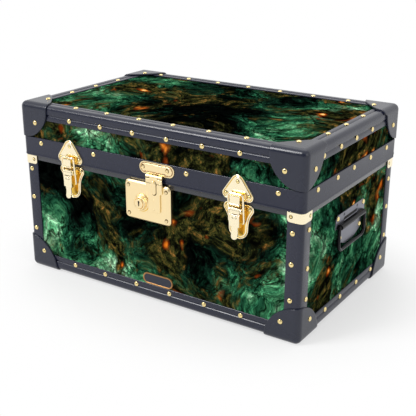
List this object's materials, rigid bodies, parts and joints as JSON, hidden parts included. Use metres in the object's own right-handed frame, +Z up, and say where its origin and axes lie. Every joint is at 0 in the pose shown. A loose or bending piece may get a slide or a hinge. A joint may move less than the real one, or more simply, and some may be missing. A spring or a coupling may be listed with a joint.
{
  "type": "tuck box",
  "caption": "Small lidded travel trunk with bound edges, capped corners, draw-bolt catches, a lock with a hasp, hinged lid and end handles.",
  "frame": {"origin": "middle of the footprint on the floor, midway between the corner posts", "axes": "+Z up, -Y towards the front with the lock and catches, +X towards the right end"},
  "size_m": [0.524, 0.3423, 0.2896],
  "materials": {
    "plywood": "satin",
    "covering": "satin",
    "lining": "matte",
    "binding": "satin",
    "cap_steel": "satin",
    "rim_steel": "satin",
    "black_steel": "gloss",
    "brass": "polished",
    "gold_lock": "satin"
  },
  "bodies": {
    "box": {"body_front_panel": "plywood", "body_back_panel": "plywood", "body_left_panel": "plywood", "body_right_panel": "plywood", "floor_panel": "plywood", "body_covering": "covering", "body_lining": "lining", "post_bindings": "binding", "base_bindings_long": "binding", "base_bindings_short": "binding", "base_caps": "cap_steel", "rim_strip": "rim_steel", "corner_clips": "brass", "body_nails": "brass", "badge_frame": "brass", "badge_field": "binding", "lock_case": "gold_lock", "lock_screws": "gold_lock", "key_collar": "gold_lock", "catch_base_left": "brass", "catch_base_right": "brass", "catch_pins": "brass", "catch_rivets": "brass", "handle_plate_left": "black_steel", "handle_plate_right": "black_steel", "handle_rivets": "brass", "hinge_body_leaves": "brass", "hinge_pins": "brass", "hinge_body_screws": "brass"},
    "lid": {"lid_top_panel": "plywood", "lid_front_panel": "plywood", "lid_back_panel": "plywood", "lid_left_panel": "plywood", "lid_right_panel": "plywood", "lid_covering": "covering", "lid_lining": "lining", "lid_bindings_long": "binding", "lid_bindings_short": "binding", "lid_band": "binding", "lid_caps": "cap_steel", "lid_nails": "brass", "catch_strike_left": "brass", "catch_strike_right": "brass", "strike_rivets": "brass", "hasp_plate": "gold_lock", "hasp_pin": "gold_lock", "hasp_screws": "gold_lock", "hinge_lid_leaves": "brass", "hinge_lid_screws": "brass"},
    "hasp": {"hasp": "gold_lock", "hasp_staple": "gold_lock"},
    "key_plug": {"key_plug": "gold_lock"},
    "lock_bolt": {"lock_bolt": "rim_steel"},
    "catch_lever_left": {"catch_lever_left": "brass"},
    "catch_lever_right": {"catch_lever_right": "brass"},
    "catch_loop_left": {"catch_loop_left": "brass"},
    "catch_loop_right": {"catch_loop_right": "brass"},
    "bail_left": {"handle_bail_left": "black_steel"},
    "bail_right": {"handle_bail_right": "black_steel"}
  },
  "joints": [
    {"name": "lid_hinge", "type": "hinge", "parent": "box", "child": "lid", "pos_m": [0, 0.1655, 0.204], "axis": [-1, 0, 0], "range_deg": [0, 100]},
    {"name": "hasp_hinge", "type": "hinge", "parent": "lid", "child": "hasp", "pos_m": [0.0125, -0.1656, 0.2085], "axis": [-1, 0, 0], "range_deg": [0, 110]},
    {"name": "key_turn", "type": "hinge", "parent": "box", "child": "key_plug", "pos_m": [-0.012, -0.17, 0.164], "axis": [0, -1, 0], "range_deg": [0, 90]},
    {"name": "bolt_slide", "type": "slide", "parent": "box", "child": "lock_bolt", "axis": [1, 0, 0], "range_m": [0, 0.007]},
    {"name": "lever_left", "type": "hinge", "parent": "box", "child": "catch_lever_left", "pos_m": [-0.1545, -0.1675, 0.1865], "axis": [-1, 0, 0], "range_deg": [0, 115]},
    {"name": "loop_left", "type": "hinge", "parent": "catch_lever_left", "child": "catch_loop_left", "pos_m": [-0.1545, -0.1654, 0.168], "axis": [-1, 0, 0], "range_deg": [-115, 0]},
    {"name": "lever_right", "type": "hinge", "parent": "box", "child": "catch_lever_right", "pos_m": [0.1545, -0.1675, 0.1865], "axis": [-1, 0, 0], "range_deg": [0, 115]},
    {"name": "loop_right", "type": "hinge", "parent": "catch_lever_right", "child": "catch_loop_right", "pos_m": [0.1545, -0.1654, 0.168], "axis": [-1, 0, 0], "range_deg": [-115, 0]},
    {"name": "bail_left", "type": "hinge", "parent": "box", "child": "bail_left", "pos_m": [-0.2578, 0, 0.1413], "axis": [0, 1, 0], "range_deg": [0, 105]},
    {"name": "bail_right", "type": "hinge", "parent": "box", "child": "bail_right", "pos_m": [0.2578, 0, 0.1413], "axis": [0, -1, 0], "range_deg": [0, 105]}
  ],
  "couplings": [
    {"joint": "bolt_slide", "follows": "key_turn", "m_per_rad": 0.00445},
    {"joint": "loop_left", "follows": "lever_left", "ratio": -1},
    {"joint": "loop_right", "follows": "lever_right", "ratio": -1}
  ]
}
